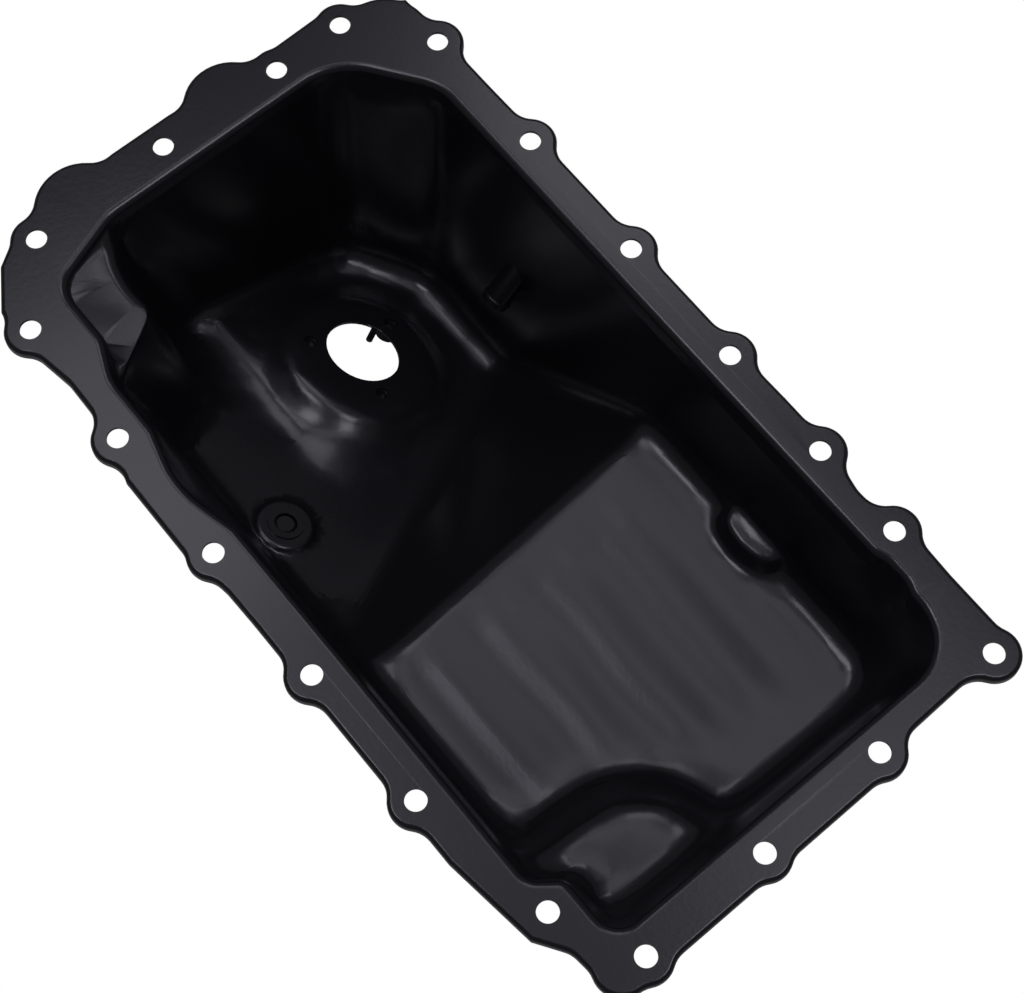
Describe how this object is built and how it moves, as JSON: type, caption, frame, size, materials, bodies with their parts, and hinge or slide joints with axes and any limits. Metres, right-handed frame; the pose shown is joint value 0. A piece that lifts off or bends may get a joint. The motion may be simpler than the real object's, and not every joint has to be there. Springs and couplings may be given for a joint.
{
  "type": "engine oil pan",
  "caption": "Pressed steel oil pan with a bolt flange, a shallow tray ramping down to a deep sump, a tilted sensor port, a drain plug and a dipstick socket.",
  "frame": {"origin": "centre of the four flange bolt holes of the mount flange_bolts, on the gasket face", "axes": "+Z out of the gasket face towards the engine, +X towards the shallow end, +Y towards the dipstick socket's side"},
  "size_m": [0.4188, 0.2364, 0.1468],
  "materials": {
    "pan_coat": "smooth black baked coat, satin",
    "plug_steel": "black coated steel"
  },
  "bodies": {
    "root": {"oil_pan": "pan_coat", "drain_boss": "pan_coat", "drain_plug": "plug_steel", "dipstick_socket": "pan_coat", "weld_nut_1": "pan_coat", "weld_nut_2": "pan_coat", "weld_nut_3": "pan_coat"}
  },
  "joints": []
}
